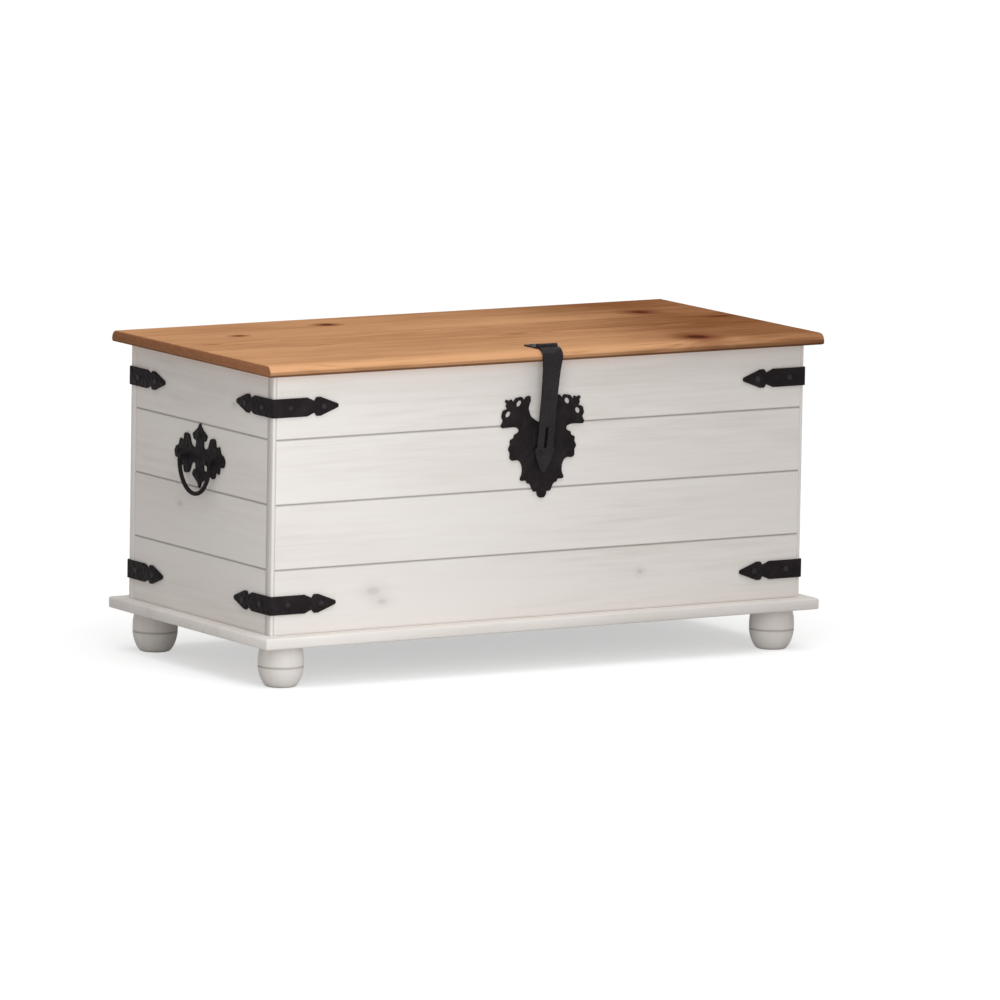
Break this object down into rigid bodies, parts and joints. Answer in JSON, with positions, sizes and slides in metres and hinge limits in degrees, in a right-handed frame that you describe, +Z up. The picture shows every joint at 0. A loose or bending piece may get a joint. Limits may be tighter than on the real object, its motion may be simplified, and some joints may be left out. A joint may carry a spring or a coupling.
{
  "type": "blanket chest",
  "caption": "Low pine blanket chest on bun feet: plank walls, overhanging hinged lid, iron corner straps, hasp on a pierced escutcheon and swinging bail handles at the ends.",
  "frame": {"origin": "floor level under the middle of the whole object's bounding box, which takes in the hasp in front of the lid", "axes": "+X to the right end seen from the front, +Y to the hinged back, +Z up; the front faces -Y"},
  "size_m": [0.92, 0.4546, 0.4673],
  "materials": {
    "white_pine": "whitewashed pine with the grain showing through, matt",
    "honey_pine": "stained and waxed pine, honey brown, satin",
    "plain_pine": "bare planed pine",
    "black_iron": "black lacquered hammered iron, matt"
  },
  "bodies": {
    "chest": {"front_board_1": "white_pine", "front_board_2": "white_pine", "front_board_3": "white_pine", "front_board_4": "white_pine", "back_board_1": "white_pine", "back_board_2": "white_pine", "back_board_3": "white_pine", "back_board_4": "white_pine", "left_board_1": "white_pine", "left_board_2": "white_pine", "left_board_3": "white_pine", "left_board_4": "white_pine", "right_board_1": "white_pine", "right_board_2": "white_pine", "right_board_3": "white_pine", "right_board_4": "white_pine", "front_left_post": "white_pine", "front_right_post": "white_pine", "back_left_post": "white_pine", "back_right_post": "white_pine", "base_panel": "white_pine", "front_left_foot": "white_pine", "front_right_foot": "white_pine", "back_left_foot": "white_pine", "back_right_foot": "white_pine", "front_left_upper_bracket": "black_iron", "front_left_lower_bracket": "black_iron", "front_right_upper_bracket": "black_iron", "front_right_lower_bracket": "black_iron", "back_left_upper_bracket": "black_iron", "back_left_lower_bracket": "black_iron", "back_right_upper_bracket": "black_iron", "back_right_lower_bracket": "black_iron", "escutcheon": "black_iron", "hasp_keeper": "black_iron", "left_handle_plate": "black_iron", "right_handle_plate": "black_iron", "left_hinge_wall_leaf": "black_iron", "right_hinge_wall_leaf": "black_iron", "left_hinge_pin": "black_iron", "right_hinge_pin": "black_iron"},
    "lid": {"lid_panel": "honey_pine", "left_lid_batten": "plain_pine", "right_lid_batten": "plain_pine", "left_hinge_lid_leaf": "black_iron", "right_hinge_lid_leaf": "black_iron", "hasp_leaf": "black_iron", "hasp_pin": "black_iron"},
    "hasp": {"hasp_strap": "black_iron"},
    "left_bail": {"left_bail": "black_iron"},
    "right_bail": {"right_bail": "black_iron"}
  },
  "joints": [
    {"name": "lid_hinge", "type": "hinge", "parent": "chest", "child": "lid", "pos_m": [0, 0.20785, 0.4396], "axis": [-1, 0, 0], "range_deg": [0, 100]},
    {"name": "hasp_swing", "type": "hinge", "parent": "lid", "child": "hasp", "pos_m": [0, -0.20865, 0.4638], "axis": [-1, 0, 0], "range_deg": [0, 178]},
    {"name": "left_bail_swing", "type": "hinge", "parent": "chest", "child": "left_bail", "pos_m": [-0.4509, 0.00235, 0.301], "axis": [0, 1, 0], "range_deg": [0, 175]},
    {"name": "right_bail_swing", "type": "hinge", "parent": "chest", "child": "right_bail", "pos_m": [0.4509, 0.00235, 0.301], "axis": [0, -1, 0], "range_deg": [0, 175]}
  ]
}
